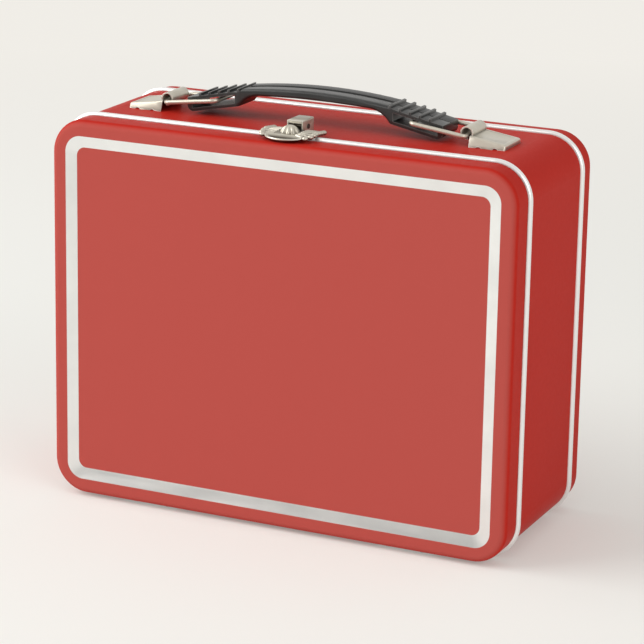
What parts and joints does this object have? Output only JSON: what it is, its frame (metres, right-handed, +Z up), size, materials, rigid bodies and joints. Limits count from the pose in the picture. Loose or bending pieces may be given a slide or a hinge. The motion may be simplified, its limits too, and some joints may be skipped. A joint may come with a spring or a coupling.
{
  "type": "metal lunch box",
  "caption": "Upright rectangular metal lunch box with a hinged front lid, half-round rims, a spring latch and a carrying handle on wire bails.",
  "frame": {"origin": "middle of the footprint, at the lowest line of the two rims that the box stands on", "axes": "+X along the front to the right, +Y from the front lid to the back, +Z up"},
  "size_m": [0.222, 0.0896, 0.1893],
  "materials": {
    "red_enamel": "satin enamel",
    "bare_tin": "bright tinned",
    "nickel": "nickel plated",
    "steel": "plain",
    "black_plastic": "moulded"
  },
  "bodies": {
    "case": {"body_band": "red_enamel", "front_rim": "bare_tin", "rear_rim": "bare_tin", "back_cover": "red_enamel", "left_band_leaf": "steel", "right_band_leaf": "steel", "hinge_pin_left": "steel", "hinge_pin_right": "steel", "band_hinge_rivets": "steel", "latch_bracket": "nickel", "latch_pin": "nickel", "left_handle_bracket": "nickel", "right_handle_bracket": "nickel"},
    "lid": {"front_lid": "red_enamel", "left_lid_leaf": "steel", "right_lid_leaf": "steel", "lid_hinge_rivets": "steel", "lid_catch": "nickel"},
    "latch": {"latch_flap": "nickel", "latch_spring": "steel"},
    "handle": {"handle_grip": "black_plastic"},
    "left_bail": {"left_bail": "nickel"},
    "right_bail": {"right_bail": "nickel"}
  },
  "joints": [
    {"name": "lid_hinge", "type": "hinge", "parent": "case", "child": "lid", "pos_m": [0, -0.03055, 0.0015], "axis": [1, 0, 0], "range_deg": [0, 135]},
    {"name": "latch_lift", "type": "hinge", "parent": "case", "child": "latch", "pos_m": [0, -0.02115, 0.1771], "axis": [-1, 0, 0], "range_deg": [0, 22]},
    {"name": "handle_lift", "type": "slide", "parent": "case", "child": "handle", "axis": [0, 0, 1], "range_m": [0, 0.018]},
    {"name": "left_bail_swing", "type": "hinge", "parent": "case", "child": "left_bail", "pos_m": [-0.0716, -0.0005, 0.17775], "axis": [0, -1, 0], "range_deg": [0, 41]},
    {"name": "right_bail_swing", "type": "hinge", "parent": "case", "child": "right_bail", "pos_m": [0.0716, -0.0005, 0.17775], "axis": [0, 1, 0], "range_deg": [0, 41]}
  ],
  "couplings": [
    {"joint": "left_bail_swing", "follows": "handle_lift", "rad_per_m": 39.5},
    {"joint": "right_bail_swing", "follows": "handle_lift", "rad_per_m": 39.5}
  ]
}
